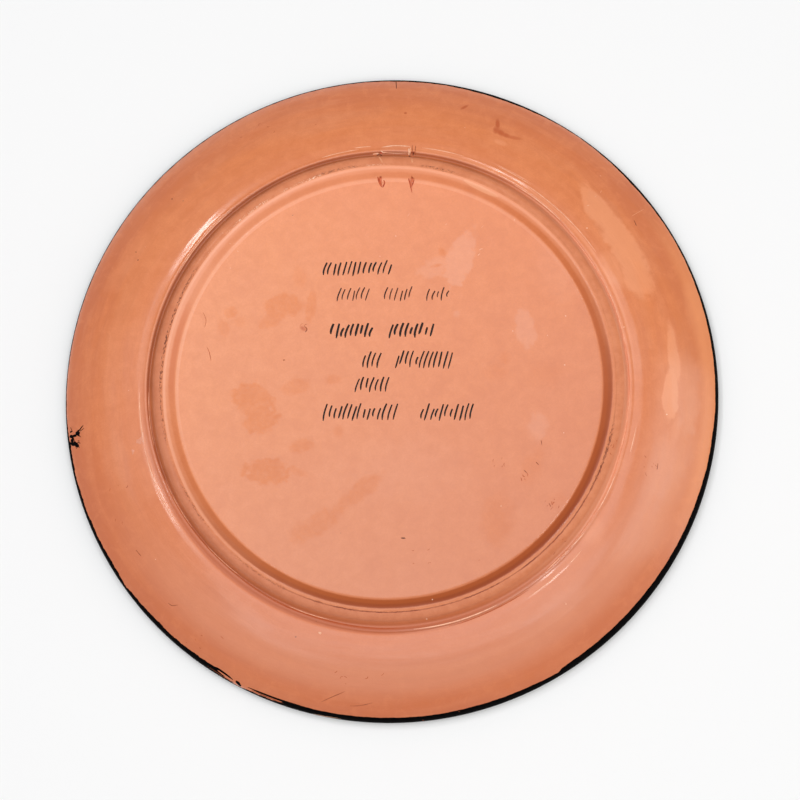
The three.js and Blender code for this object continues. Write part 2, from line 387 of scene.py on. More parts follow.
def clay_material(name, inner):
    """The varnished clay inside the foot ring's edge, or outside it."""
    t = Tree(name)
    co = t.new("ShaderNodeTexCoord").outputs["Object"]
    p = t.vmath("SCALE", co, scale=1000.0)
    x, y, z = t.xyz(p)
    flat = t.combine(x, y, 0.0)
    r = t.vmath("LENGTH", flat)
    safe = t.math("MAXIMUM", r, 0.5)
    ux, uy = t.math("DIVIDE", x, safe), t.math("DIVIDE", y, safe)

    # noises shared by several layers
    cloud = t.noise(flat, 0.022, 3.0, 0.55, 0.6)          # 45 mm clouds
    blotch = t.noise(flat, 0.075, 4.0, 0.6, 0.4)          # 13 mm blotches
    smudge = t.noise(t.vmath("ADD", flat, (61.0, 17.0, 0.0)), 0.30, 4.0, 0.65, 0.3)
    grain = t.noise(p, 1.5, 3.0, 0.6)                     # fine clay grain
    if not inner:                                         # bands and streaks left by the brush
        brush = t.noise(t.combine(t.mul(ux, 2.6), t.mul(uy, 2.6), t.mul(r, 0.15)), 1.0, 4.0, 0.6, 0.25)
        streak = t.noise(t.combine(t.mul(ux, 5.0), t.mul(uy, 5.0), t.mul(r, 0.26)), 1.0, 3.0, 0.55, 0.4)
        hairs = t.noise(t.combine(t.mul(ux, 14.0), t.mul(uy, 14.0), t.mul(r, 3.2)), 1.0, 2.0, 0.6)
        on_flange = t.smooth(r, 102, 110)

    square = t.combine(t.mul(x, x), t.mul(x, y), t.mul(y, y))
    plane = t.combine(x, y, 1.0)

    def patches(items, rough_edge):
        """The strongest of some soft-edged ellipses, 0 to 1."""
        total = None
        for cx, cy, rx, ry, turn, soft, amount in items:
            (mx, my), (ax, ay), angle = stain_px(cx, cy, rx, ry, turn)
            reach = max(ax, ay) * 1.6
            if (math.hypot(mx, my) - reach > SEAM_R) if inner else (math.hypot(mx, my) + reach < SEAM_R):
                continue
            c, sn = math.cos(angle), math.sin(angle)
            a = c * c / ax ** 2 + sn * sn / ay ** 2
            b = 2 * c * sn * (1 / ax ** 2 - 1 / ay ** 2)
            e = sn * sn / ax ** 2 + c * c / ay ** 2
            d = t.vmath("DOT_PRODUCT", square, (a, b, e))
            f = (-2 * a * mx - b * my, -b * mx - 2 * e * my, a * mx * mx + b * mx * my + e * my * my)
            d = t.add(d, t.vmath("DOT_PRODUCT", plane, f))
            d = t.math("MULTIPLY_ADD", rough_edge, 0.8 + 1.2 * min(1.0, min(ax, ay) / 3.0), d)
            m = t.smooth(d, 1 - 1.9 * soft, 1 + 1.3 * soft, amount, 0.0)
            total = m if total is None else t.math("MAXIMUM", total, m)
        return total if total is not None else 0.0

    ragged_edge = t.math("MULTIPLY_ADD", t.sub(smudge, 0.5), 1.3, t.mul(t.sub(blotch, 0.5), 1.1))
    dull = t.mul(patches(DULL, ragged_edge), t.smooth(t.noise(flat, 0.6, 3.0, 0.7, 0.5), 0.30, 0.62, 0.30, 0.74))
    shiny = patches(GLOSSY, ragged_edge)
    rust = patches(RUST, t.mul(t.sub(smudge, 0.5), 0.9))

    peach = 0.0 if inner else patches(PEACH, t.mul(t.sub(blotch, 0.5), 1.5))

    # plain clay under varnish, a little duller towards the rim
    col = t.ramp(t.mul(r, 1 / 140.0), [
        (0.0, srgb(229, 131, 68)), (0.637, srgb(229, 131, 68)), (0.648, srgb(229, 134, 76)),
        (0.735, srgb(222, 125, 70)), (0.78, srgb(224, 127, 70)), (0.86, srgb(227, 130, 71)),
        (0.93, srgb(212, 114, 62)), (1.0, srgb(202, 104, 58))])
    col = t.mix(t.smooth(cloud, 0.35, 0.7, 0.0, 0.25), col, srgb(228, 134, 82))
    col = t.mix(t.smooth(blotch, 0.42, 0.75, 0.0, 0.20), col, srgb(208, 108, 54))
    if not inner:
        col = t.mix(t.mul(t.smooth(brush, 0.42, 0.64), t.mul(on_flange, 0.34)), col, srgb(234, 142, 90))
        col = t.mix(t.mul(t.smooth(streak, 0.46, 0.70), t.mul(on_flange, 0.17)), col, srgb(200, 100, 52))
    mottle = t.noise(t.vmath("ADD", flat, (-143.0, 88.0, 0.0)), 0.17, 4.0, 0.65, 0.5)     # 6 mm mottling
    col = t.mix(t.smooth(mottle, 0.47, 0.68, 0.0, 0.26), col, srgb(212, 112, 48))
    col = t.mix(t.smooth(mottle, 0.32, 0.52, 0.24, 0.0), col, srgb(242, 148, 90))
    col = t.mix(t.smooth(grain, 0.30, 0.70, 0.0, 0.28), col, srgb(210, 110, 60))
    if not inner:
        # painted reflections on the right of the flange, lighter tone elsewhere
        col = t.mix(t.mul(peach, 0.72), col, srgb(246, 158, 108))
    # painted sheen: pinker towards the lower side
    col = t.mix(t.smooth(y, 60, -120, 0.0, 0.34), col, srgb(208, 113, 76))
    col = t.mix(t.mul(dull, 0.24 if inner else 0.12), col, srgb(208, 106, 50))
    if not inner:
        # painted sheen: paler and pinker on the lower side of the flange
        lower = t.mul(t.smooth(t.math("MULTIPLY_ADD", ux, 0.2, t.mul(uy, -0.98)), 0.0, 0.75, 0.0, 0.5), t.smooth(r, 107, 119))
        col = t.mix(t.mul(lower, t.smooth(r, 124, 134, 1.0, 0.0)), col, srgb(222, 144, 112))
    col = t.mix(t.mul(shiny, 0.10), col, srgb(232, 144, 96))

    facing = t.add(t.mul(ux, 0.454), t.mul(uy, -0.891))
    ragged = t.mul(t.sub(t.noise(p, 0.55, 4.0, 0.7), 0.5), 1.5)
    bare, pits = 0.0, 0.0
    if inner:
        # the wall of the recess: painted shade on the side that faces away from the light, painted light on the side
        # that faces it
        lit = t.mul(facing, -1.0)
        edge_shake = t.mul(t.sub(smudge, 0.5), 0.5)
        wall = t.band(t.add(r, edge_shake), 90.4, 94.1, 0.35)
        # painted shade on the lower side of the wall
        wall_shade = t.mul(wall, t.smooth(t.add(facing, t.mul(t.sub(blotch, 0.5), 0.3)), -0.42, 0.95))
        col = t.mix(t.mul(wall_shade, 0.90), col, t.mix(t.smooth(r, 91.0, 93.6), srgb(170, 78, 22), srgb(158, 64, 18)))
        # painted light: the wall paler on the upper side of the plate, where it faces the light
        at_top = t.smooth(uy, -0.3, 0.5, 0.35, 1.0)
        upper_wall = t.mul(t.band(t.add(r, edge_shake), 92.3, 94.4, 0.5), t.mul(at_top, t.smooth(lit, -0.5, 0.6, 0.0, 0.62)))
        col = t.mix(upper_wall, col, srgb(246, 162, 120))
        lower_wall = t.mul(t.band(r, 89.8, 92.3, 0.4), t.mul(at_top, t.smooth(lit, 0.0, 0.9, 0.0, 0.32)))
        col = t.mix(lower_wall, col, srgb(242, 158, 118))
        toward = t.vmath("DOT_PRODUCT", t.combine(ux, uy, 0.0), (-0.986, 0.165, 0.0))
        stained = t.mul(t.band(t.add(r, edge_shake), 90.3, 92.6, 0.6), t.smooth(t.math("MULTIPLY_ADD", t.sub(blotch, 0.5), 0.02, toward), 0.962, 0.992, 0.0, 0.75))
        col = t.mix(stained, col, srgb(214, 112, 60))
        # painted shade at the foot of the wall on the side away from the light
        foot_of_wall = t.mul(t.band(r, 90.2, 92.2, 0.4), t.smooth(facing, -1.0, 0.3, 0.0, 0.30))
        col = t.mix(foot_of_wall, col, srgb(204, 98, 40))
        # painted highlight along the crest on the side facing the light
        crest = t.mul(t.band(t.add(r, edge_shake), 93.7, 95.6, 0.30), t.smooth(lit, -0.6, 0.7, 0.0, 0.38))
        col = t.mix(crest, col, srgb(244, 164, 122))
        # painted highlight: a pale line where the base starts to rise, on the side facing the light
        rise = t.mul(t.band(r, 88.5, 89.9, 0.25), t.smooth(lit, -0.2, 0.7, 0.0, 0.22))
        col = t.mix(rise, col, srgb(255, 182, 140))
        # painted highlight: a pale patch on the wall at the upper right
        pale = patches(((481, 188.6, 19, 2.3, -27, 0.12, 0.5),), t.mul(t.sub(smudge, 0.5), 0.9))
        col = t.mix(pale, col, srgb(255, 184, 140))
    else:
        # worn, half bare top and outer slope of the foot ring
        bare = t.smooth(t.add(r, ragged), 97.6, 101.0, 1.0, 0.0)
        bare_col = t.mix(t.smooth(t.noise(p, 0.22, 3.0, 0.6), 0.35, 0.65), srgb(206, 120, 78), srgb(218, 134, 92))
        bare_col = t.mix(t.smooth(t.noise(p, 1.5, 3.0, 0.6), 0.50, 0.72, 0.0, 0.16), bare_col, srgb(182, 100, 66))
        col = t.mix(t.mul(bare, 0.75), col, bare_col)
        # painted shade that grows towards the channel, most of it on the upper left, away from the light
        away_from_light = t.smooth(t.sub(t.mul(uy, 0.75), t.mul(ux, 0.66)), -1.0, 0.75)
        rb = t.sub(r, t.by_angle(x, y, CREST_DRIFT, -1.0, 1.0))
        channel_shade = t.mul(t.smooth(r, 97.2, 100.6), t.smooth(t.add(rb, t.mul(ragged, 0.3)), 101.7, 102.9, 1.0, 0.0))
        col = t.mix(t.mul(channel_shade, t.mul(away_from_light, t.smooth(blotch, 0.3, 0.7, 0.34, 0.60))), col, srgb(154, 80, 44))
        # painted light and shade on the inner wall of the bead: a dark copy of its colour on the upper left, a pale one
        # on the right
        bead_wall = t.mul(t.band(rb, 100.9, 102.1, 0.4), 0.60)
        at_right = t.smooth(ux, 0.3, 0.95)
        col = t.mix(bead_wall, col, t.mix(away_from_light, t.mix(at_right, srgb(204, 126, 92), srgb(242, 166, 130)), t.mix(at_right, srgb(160, 88, 58), srgb(226, 150, 114))))
        # painted light in the channel on the right
        col = t.mix(t.mul(t.band(r, 99.2, 101.6, 0.5), t.mul(at_right, 0.70)), col, srgb(232, 156, 120))
        # painted shade in the channel and on the bead towards the lower side
        col = t.mix(t.mul(t.band(r, 100.2, 104.0, 0.7), t.smooth(uy, -0.98, -0.30, 0.56, 0.0)), col, srgb(170, 90, 58))
        way = t.combine(ux, uy, 0.0)
        for lo, hi, soft, to, start, full, amount, tone in (
                # painted shade on the bead at the lower left
                (101.9, 104.5, 0.5, (-0.57, -0.82, 0.0), 0.45, 0.90, 0.50, srgb(180, 84, 42)),
                # painted highlight on the bead at the upper right
                (102.6, 104.3, 0.5, (0.71, 0.71, 0.0), 0.70, 0.95, 0.40, srgb(246, 160, 116)),
                # painted shade in the channel at the upper left
                (100.0, 101.5, 0.4, (-0.71, 0.71, 0.0), 0.60, 0.95, 0.32, srgb(142, 72, 42)),
                # painted light on the outer flange at the right
                (133.0, 142.0, 2.5, (1.0, 0.05, 0.0), 0.80, 0.98, 0.55, srgb(244, 150, 86)),
                (124.5, 133.0, 2.0, (0.99, -0.10, 0.0), 0.80, 0.98, 0.30, srgb(222, 126, 60)),
                (104.5, 118.0, 2.0, (0.30, -0.95, 0.0), 0.20, 0.85, 0.22, srgb(206, 116, 78))):
            col = t.mix(t.mul(t.band(r, lo, hi, soft), t.smooth(t.vmath("DOT_PRODUCT", way, to), start, full, 0.0, amount)), col, tone)
        dry_bead = t.mul(t.band(r, 101.9, 105.0, 0.5), t.smooth(t.vmath("DOT_PRODUCT", way, (-0.50, -0.87, 0.0)), 0.70, 0.92, 0.0, 0.85))
        wash = t.mul(t.band(t.add(r, ragged), 95.9, 99.5, 0.5), t.smooth(t.math("MULTIPLY_ADD", ux, -0.75, t.mul(uy, -0.66)), 0.0, 1.0, 0.06, 0.30))
        col = t.mix(wash, col, srgb(176, 100, 76))
        # dashes of dirt and pits along the ring, clustered
        dashes = t.noise(t.combine(t.mul(ux, 75.0), t.mul(uy, 75.0), t.mul(r, 2.6)), 1.0, 2.0, 0.7)
        # (the left side, both sides of the hanging holes, and a stretch at the lower left)
        where = 0.0
        for deg, spread, amount in ((166, 0.26, 1.0), (187, 0.12, 0.6), (237, 0.12, 0.4), (212, 0.10, 0.5), (257, 0.10, 0.22), (103, 0.09, 0.5), (77, 0.06, 0.7), (341, 0.13, 0.75)):
            a = math.radians(deg)
            near = t.vmath("DOT_PRODUCT", t.combine(ux, uy, 0.0), (math.cos(a), math.sin(a), 0.0))
            near = t.smooth(near, math.cos(spread * 1.5), math.cos(spread * 0.6), 0.0, amount)
            where = near if where == 0.0 else t.math("MAXIMUM", where, near)
        pit_zone = t.mul(t.band(t.math("MULTIPLY_ADD", ragged, 1.1, r), 95.2, 96.2, 0.3), where)
        pits = t.mul(t.smooth(dashes, 0.53, 0.57), pit_zone)
        col = t.mix(t.math("MINIMUM", pits, 0.9), col, srgb(92, 36, 18))
        # dark hairline where the varnish ends, strongest on the lower right, broken elsewhere
        broken = t.smooth(t.noise(t.combine(t.mul(ux, 9.0), t.mul(uy, 9.0), 3.0), 1.0, 3.0, 0.6), 0.40, 0.60)
        line = t.band(t.add(r, t.mul(ragged, 0.55)), 95.46, 95.94, 0.12)
        col = t.mix(t.mul(line, t.math("MAXIMUM", t.mul(t.smooth(facing, 0.42, 0.85, 0.0, 0.95), t.math("MULTIPLY_ADD", broken, 0.5, 0.5)), t.mul(broken, 0.12))), col, srgb(126, 46, 14))
        # painted glints on the same edge on the upper left, the side that faces the light
        edge_glints = t.mul(t.smooth(t.noise(t.combine(t.mul(ux, 150.0), t.mul(uy, 150.0), t.mul(r, 3.0)), 1.0, 2.0, 0.6), 0.54, 0.62),
                       t.mul(t.smooth(r, 95.5, 95.9, 1.0, 0.0), t.smooth(t.mul(facing, -1.0), 0.86, 0.95)))
        col = t.mix(t.mul(edge_glints, t.mul(broken, 0.9)), col, srgb(255, 214, 184))

    # scattered specks, dark and pale
    d1, c1 = t.cells(flat, 0.105)
    speck = t.math("LESS_THAN", d1, t.mul(t.math("GREATER_THAN", t.xyz(c1)[0], 0.62), t.mul(t.xyz(c1)[1], 0.040)))
    col = t.mix(t.mul(speck, 0.55), col, srgb(128, 62, 36))
    d2, c2 = t.cells(t.vmath("ADD", flat, (417.0, 133.0, 0.0)), 0.14)
    salt = t.math("LESS_THAN", d2, t.mul(t.math("GREATER_THAN", t.xyz(c2)[0], 0.62), t.mul(t.xyz(c2)[1], 0.050)))
    col = t.mix(t.mul(salt, 0.7), col, srgb(255, 214, 184))
    col = t.mix(rust, col, srgb(186, 80, 28))
    # painted light: paler towards the upper left of the plate, darker towards the lower right
    light_slant = t.smooth(t.vmath("DOT_PRODUCT", flat, (-0.80, 0.60, 0.0)), -120, 120)
    col = t.mix(1.0, col, t.mix(light_slant, *(((0.915, 0.93, 0.965, 1), (1.09, 1.10, 1.14, 1)) if inner else ((1.0, 1.0, 1.0, 1), (1.02, 1.02, 1.04, 1)))), "MULTIPLY")

    if inner:
        across = t.smooth(t.vmath("DOT_PRODUCT", flat, (-0.95, -0.31, 0.0)), -105, 105)
        col = t.mix(1.0, col, t.mix(across, (0.995, 0.92, 0.85, 1), (0.955, 1.05, 1.22, 1)), "MULTIPLY")

    gloss = t.mul(t.inv(dull), t.add(0.56, t.mul(shiny, 0.40)))
    if inner:
        gloss = t.mul(gloss, t.inv(t.math("MAXIMUM", wall_shade, t.smooth(r, 88.9, 90.2, 0.0, 0.6))))
    if not inner:
        gloss = t.mul(t.math("MULTIPLY_ADD", t.sub(streak, 0.5), 0.5, gloss), t.inv(t.math("MAXIMUM", t.mul(channel_shade, 0.8), t.math("MAXIMUM", line, dry_bead))))
    gloss = t.math("MULTIPLY", gloss, t.inv(t.math("MAXIMUM", t.mul(bare, 0.9), t.math("MAXIMUM", t.mul(rust, 0.8), pits))), clamp=True)
    rough = t.add(t.mixf(bare, 0.42, 0.62), t.mul(smudge, 0.08))
    height = t.math("MULTIPLY_ADD", grain, t.mixf(bare, 0.06, 0.13), t.mul(blotch, 1.7))
    if not inner:
        height = t.add(height, t.mul(t.math("MULTIPLY_ADD", brush, 2.2, t.mul(streak, 0.9)), on_flange))
        height = t.add(height, t.mul(hairs, t.mul(t.smooth(r, 100.5, 102.0), t.smooth(r, 106, 110, 0.34, 0.05))))
        height = t.sub(height, t.mul(pits, 0.7))
    s = t.surface(col, rough, height, 0.00012, IOR=1.5)
    t.put(s.inputs["Coat Weight"], gloss)
    s.inputs["Coat Roughness"].default_value = 0.17
    s.inputs["Coat IOR"].default_value = 1.8
    return t.mat


def black_material():
    t = Tree("black_glaze")
    co = t.new("ShaderNodeTexCoord").outputs["Object"]
    p = t.vmath("SCALE", co, scale=1000.0)
    n = t.noise(p, 0.35, 4.0, 0.6)
    thin = t.noise(p, 0.06, 3.0, 0.55)
    col = t.mix(t.smooth(n, 0.4, 0.75, 0.0, 0.5), srgb(15, 12, 13), srgb(30, 24, 24))
    col = t.mix(t.smooth(thin, 0.62, 0.8, 0.0, 0.35), col, srgb(58, 36, 28))
    t.surface(col, t.add(0.20, t.mul(n, 0.12)), t.noise(p, 0.9, 3.0, 0.6), 0.00005, Coat_Weight=0.4, Coat_Roughness=0.12)
    return t.mat


def plain_noise_material(name, a, b, scale, rough, **more):
    t = Tree(name)
    co = t.new("ShaderNodeTexCoord").outputs["Object"]
    p = t.vmath("SCALE", co, scale=1000.0)
    n = t.noise(p, scale, 3.0, 0.6)
    t.surface(t.mix(t.smooth(n, 0.35, 0.65), a, b), t.add(rough, t.mul(n, 0.1)), n, 0.00003, **more)
    return t.mat


CLAY_IN = clay_material("varnished_clay_base", True)
CLAY_OUT = clay_material("varnished_clay_outer", False)
BLACK = black_material()
RIM_BLACK = plain_noise_material("rim_black", srgb(4, 3, 4), srgb(9, 6, 6), 0.5, 0.5, Specular_IOR_Level=0.03)
HOLE = plain_noise_material("hole_clay", srgb(206, 100, 62), srgb(224, 120, 80), 1.2, 0.6)
INK = plain_noise_material("pen_ink", srgb(20, 8, 6), srgb(38, 18, 12), 0.25, 0.5, Specular_IOR_Level=0.25)
INK_THIN = plain_noise_material("pen_ink_thin", srgb(52, 24, 16), srgb(88, 44, 28), 0.25, 0.5, Specular_IOR_Level=0.25)
SCRATCH = plain_noise_material("dark_scratch", srgb(138, 66, 38), srgb(172, 90, 54), 0.4, 0.6, Specular_IOR_Level=0.3)
DARK = plain_noise_material("dark_dirt", srgb(84, 38, 22), srgb(112, 56, 34), 0.6, 0.6, Specular_IOR_Level=0.3)
BUFF = plain_noise_material("buff_smear", srgb(236, 160, 116), srgb(226, 144, 100), 0.5, 0.5)
PALE = plain_noise_material("pale_scratch", srgb(250, 200, 168), srgb(236, 168, 130), 0.5, 0.5)
DRIP = plain_noise_material("red_brown_run", srgb(172, 66, 34), srgb(204, 96, 56), 0.8, 0.5, Specular_IOR_Level=0.2)
# pale so that the raised ridges and some scuffs show painted glints
VARNISH_RIDGE_GLINT = plain_noise_material("varnish_ridge", srgb(252, 190, 152), srgb(236, 160, 118), 0.4, 0.35, Coat_Weight=0.8, Coat_Roughness=0.16)
PALE_PATCH = plain_noise_material("pale_smear", srgb(226, 148, 118), srgb(220, 138, 102), 0.9, 0.45, Coat_Weight=0.4)
BROWN = plain_noise_material("brown_line", srgb(190, 88, 42), srgb(174, 76, 34), 0.5, 0.5, Specular_IOR_Level=0.2)
RESERVED = plain_noise_material("reserved_clay", srgb(204, 104, 54), srgb(186, 88, 44), 0.12, 0.34, Coat_Weight=0.3, Coat_Roughness=0.15)

# ---------------------------------------------------------------- plate mesh
N_TURN = 640


def mesh_object(name, verts_mm, faces, materials, face_mats=None, smooth=True):
    me = bpy.data.meshes.new(name)
    me.from_pydata([tuple(v) for v in (np.asarray(verts_mm, float) * MM)], [], faces)
    for m in materials:
        me.materials.append(m)
    if face_mats is not None:
        me.polygons.foreach_set("material_index", face_mats)
    me.polygons.foreach_set("use_smooth", [smooth] * len(me.polygons))
    me.update()
    ob = bpy.data.objects.new(name, me)
    scene.collection.objects.link(ob)
    return ob


def bell(r, c, w):
    return np.exp(-((r - c) / w) ** 2)


TUCK = 0.14                       # the rim is drawn in by the glaze that covers it


def tuck_at(r):
    """How far the clay is drawn in below the profile, from the outer flange to the roll."""
    t = min(1.0, max(0.0, (r - 134.0) / 4.6))
    return TUCK * t * t * (3 - 2 * t)


# how much shallower the channel is, by angle
CHANNEL_FILL = ((0, 0.42), (40, 0.30), (80, 0.0), (200, 0.0), (235, 0.12), (265, 0.40), (320, 0.48), (345, 0.46), (360, 0.42))
# low lumps: angle, spread, radius, width, height
LUMPS = ((141, 12.0, 106.2, 2.20, 0.25), (60, 6.0, 105.0, 1.10, 0.15), (60, 5.0, 106.9, 0.40, 0.06),
         (69, 5.0, 104.7, 0.50, 0.07), (78, 4.0, 105.3, 0.40, 0.06), (42, 9.0, 105.2, 0.32, 0.055), (98, 6.0, 104.6, 0.34, 0.055),
         (187, 6.5, 106.0, 0.50, 0.09), (208, 7.0, 107.2, 1.20, 0.18), (222, 6.0, 103.2, 0.4, 0.04),
         (311, 6.0, 104.7, 1.10, 0.17), (309, 6.5, 107.2, 0.36, 0.06), (284, 9.0, 104.4, 0.40, 0.07), (284, 10.0, 105.5, 0.30, 0.04),
         (347, 3.5, 105.8, 0.35, 0.06), (334, 5.0, 103.6, 0.40, 0.05))


def around(table, th):
    """A smooth value by angle from a table of degrees and values."""
    a = np.degrees(th) % 360
    d, v = np.array(table).T
    k = np.clip(np.searchsorted(d, a, side="right") - 1, 0, len(d) - 2)
    t = (a - d[k]) / (d[k + 1] - d[k])
    t = t * t * (3 - 2 * t)
    return v[k] * (1 - t) + v[k + 1] * t


def shaped(r, z, th, front):
    """Small hand-made departures from a true turned form, inwards only at the rim."""
    r, z = np.full_like(th, r), np.full_like(th, z)
    if front:
        return r, z
    ring = bell(r, 97, 7)
    dr = ring * (0.16 * np.sin(2 * th + 0.7) + 0.10 * np.sin(3 * th + 2.1) + 0.05 * np.sin(7 * th + 1.2))
    inner = bell(r, 93.3, 1.9)
    dr += inner * (0.14 * np.sin(5 * th + 0.4) + 0.08 * np.sin(11 * th + 2.0) + 0.05 * np.sin(23 * th))
    edge = bell(r, 98.8, 1.1)
    dr += edge * (0.20 * np.sin(4 * th + 1.1) + 0.10 * np.sin(9 * th + 0.3) + 0.06 * np.sin(19 * th + 1.0))
    dr += bell(r, 102.4, 1.5) * around(CREST_DRIFT, th)
    dz = np.zeros_like(th)
    base = np.clip((88.0 - r) / 8.0, 0, 1)
    dz += base * 0.05 * (np.sin(r * 0.11 + 2 * th) + np.sin(r * 0.07 - 3 * th + 1.0)) * np.clip(r / 30, 0, 1)
    fl = np.clip((r - 106) / 6, 0, 1) * np.clip((137 - r) / 6, 0, 1)
    dz += fl * (0.10 * np.sin(3 * th + r * 0.05) + 0.06 * np.sin(7 * th - r * 0.12 + 1.3) + 0.035 * np.sin(r * 0.9 + 2 * np.sin(2 * th)))
    dz += bell(r, 100.9, 0.9) * around(CHANNEL_FILL, th)
    # worn, uneven lumps on the bead
    for deg, spread, centre, width, tall in LUMPS:
        away = (th - math.radians(deg) + math.pi) % TAU - math.pi
        k = np.exp(-(away / math.radians(spread)) ** 4)
        dz += k * tall * (0.75 + 0.25 * np.sin(37 * th + deg)) * bell(r + 0.10 * np.sin(9 * th + deg), centre, width)
    return r + dr, z + dz


def build_plate():
    th = np.arange(N_TURN) * TAU / N_TURN
    rows = []
    for r, z in BACK_P[1:]:
        k = tuck_at(r)
        slope = FLANGE_SLOPE + 2 * BEND * max(0.0, r - FLANGE_R)
        n = math.hypot(1, slope)
        rows.append((*shaped(r - k * slope / n, z - k / n, th, False), 0 if r <= SEAM_R + 0.01 else 3))
    for r, z in ROLL_P:
        k = (r - (RIM_R - ROLL)) / ROLL, (z - ROLL) / ROLL
        rows.append((np.full_like(th, r - TUCK * k[0]), np.full_like(th, z - TUCK * k[1]), 3))
    for r, z in FRONT_P[:-1]:
        rows.append((*shaped(r, z + (TUCK if z < 0.3 else 0.0), th, True), 1))
    verts = [(0.0, 0.0, BACK_P[0][1])]
    for r, z, _ in rows:
        verts.extend(zip(r * np.cos(th), r * np.sin(th), z))
    verts.append((0.0, 0.0, FRONT_P[-1][1]))
    faces, mats = [], []
    for i in range(N_TURN):
        j = (i + 1) % N_TURN
        faces.append((0, 1 + i, 1 + j)); mats.append(0)
    for k in range(len(rows) - 1):
        a, b, m = 1 + k * N_TURN, 1 + (k + 1) * N_TURN, rows[k + 1][2]
        for i in range(N_TURN):
            j = (i + 1) % N_TURN
            faces.append((a + i, b + i, b + j, a + j)); mats.append(m)
    last, a = len(verts) - 1, 1 + (len(rows) - 1) * N_TURN
    for i in range(N_TURN):
        j = (i + 1) % N_TURN
        faces.append((last, a + j, a + i)); mats.append(1)
    return mesh_object("plate_body", verts, faces, [CLAY_IN, BLACK, HOLE, CLAY_OUT], mats)


def tube_mesh(p0, p1, r0, r1, sides=24):
    p0, p1 = np.array(p0, float), np.array(p1, float)
    d = (p1 - p0) / np.linalg.norm(p1 - p0)
    u = np.cross(d, [0, 0, 1]); u /= np.linalg.norm(u)
    v = np.cross(d, u)
    verts, faces = [], []
    for p, r in ((p0, r0), (p1, r1)):
        for i in range(sides):
            a = TAU * i / sides
            verts.append(p + r * (u * math.cos(a) + v * math.sin(a)))
    for i in range(sides):
        j = (i + 1) % sides
        faces.append((i, j, sides + j, sides + i))
    faces.append(tuple(reversed(range(sides))))
    faces.append(tuple(range(sides, 2 * sides)))
    return verts, faces


plate = build_plate()
SKIN.append(BVHTree.FromPolygons([v.co * 1000 for v in plate.data.vertices],
                                 [tuple(f.vertices) for f in plate.data.polygons]))

HOLES = (-3.3, 10.2)
cv, cf = [], []
for hx in HOLES:
    v, f = tube_mesh((hx + 0.4, 101.9, 21.6), (hx + 0.1, 86.6, 22.92), 0.62, 0.42)
    cf += [tuple(i + len(cv) for i in q) for q in f]
    cv += v
cutter = mesh_object("cutter", cv, cf, [CLAY_IN, BLACK, HOLE, CLAY_OUT], [2] * len(cf), False)
bm = bmesh.new(); bm.from_mesh(cutter.data)
bmesh.ops.recalc_face_normals(bm, faces=bm.faces)
bm.to_mesh(cutter.data); bm.free()
mod = plate.modifiers.new("holes", "BOOLEAN")
mod.operation, mod.solver, mod.object = "DIFFERENCE", "EXACT", cutter
bpy.context.view_layer.objects.active = plate
with bpy.context.temp_override(object=plate, active_object=plate, selected_objects=[plate]):
    bpy.ops.object.modifier_apply(modifier="holes")
bpy.data.objects.remove(cutter)
print("plate body", len(plate.data.vertices), "vertices", len(plate.data.polygons), "faces")

# ---------------------------------------------------------------- black rim
# How far the black reaches in over the back, in picture points from the
# outline, by angle. Zero or less leaves the rolled edge bare.
LAP = [(0, 3.0), (6, 2.5), (12, 2.2), (18, 1.9), (24, 1.4), (30, 1.1), (36, 1.4), (41, 1.8), (45, 1.2), (49, 0.9),
       (54, 0.4), (59, 0.6), (63, 1.2), (69, 1.7), (75, 1.6), (80, 1.0), (88, 1.1), (92, 0.8), (95, 0.6), (100, 0.5),
       (116, 0.35), (130, 0.45), (146, 0.3), (160, 0.4), (178, 0.35), (184, 0.6), (187.2, 1.2), (189, 2.1), (193, 2.0), (195.5, 1.6),
       (198, 2.5), (201, 2.0), (204, 3.0), (206.5, 2.7), (210, 3.5), (213.5, 3.4), (215.4, 2.2), (216.6, 2.0), (218, 3.1),
       (222, 3.8), (225, 4.5), (227.5, 3.9), (231, 4.2), (234, 4.9), (237.6, 5.1), (238.8, 3.4), (240.2, 1.5),
       (241.2, 0.2), (243.8, 0.1), (244.8, 1.2), (249.6, 1.4), (251, 3.0), (252.4, 5.0), (258, 4.9), (264, 5.1), (270, 5.3),
       (277, 5.1), (284, 5.5), (291, 5.2), (295, 4.9), (298.6, 4.1), (300.6, 3.6), (301.5, 5.6), (304, 6.1), (312, 6.2),
       (320, 6.1), (327, 5.6), (333, 5.2), (341, 4.9), (346, 4.1), (352, 4.0), (356, 3.1), (360, 3.0)]
_lt, _lw = np.array([a for a, b in LAP], float), np.array([b for a, b in LAP], float)
EDGE_PROFILE = [p for p in BACK_P if p[0] > 128] + ROLL_P
_ep = np.array(EDGE_PROFILE)
_seg = np.hypot(*np.diff(_ep, axis=0).T)
_el = np.concatenate([[0], np.cumsum(_seg)])
_n_flange = len(EDGE_PROFILE) - len(ROLL_P) - 1    # last point before the roll
fine_l = np.linspace(0, _el[-1], 700)
fine_r, fine_z = np.interp(fine_l, _el, _ep[:, 0]), np.interp(fine_l, _el, _ep[:, 1])


def reach_to_length(angle, reach):
    """Length along the edge profile where it shows that many points inside the outline."""
    c, s = math.cos(angle), math.sin(angle)
    pts = np.stack([fine_r * c, fine_r * s, fine_z], 1)
    d = pts - EYE
    depth = -(d @ BACK)
    px, py = FOCAL_PX * (d @ RIGHT) / depth, FOCAL_PX * (d @ UP) / depth
    away = px * math.cos(angle) + py * math.sin(angle)
    k = int(np.argmax(away))
    if reach <= 0:
        return fine_l[k] - reach * 0.9
    inside = away[k] - away[:k + 1]
    return float(np.interp(-reach, -inside, fine_l[:k + 1]))


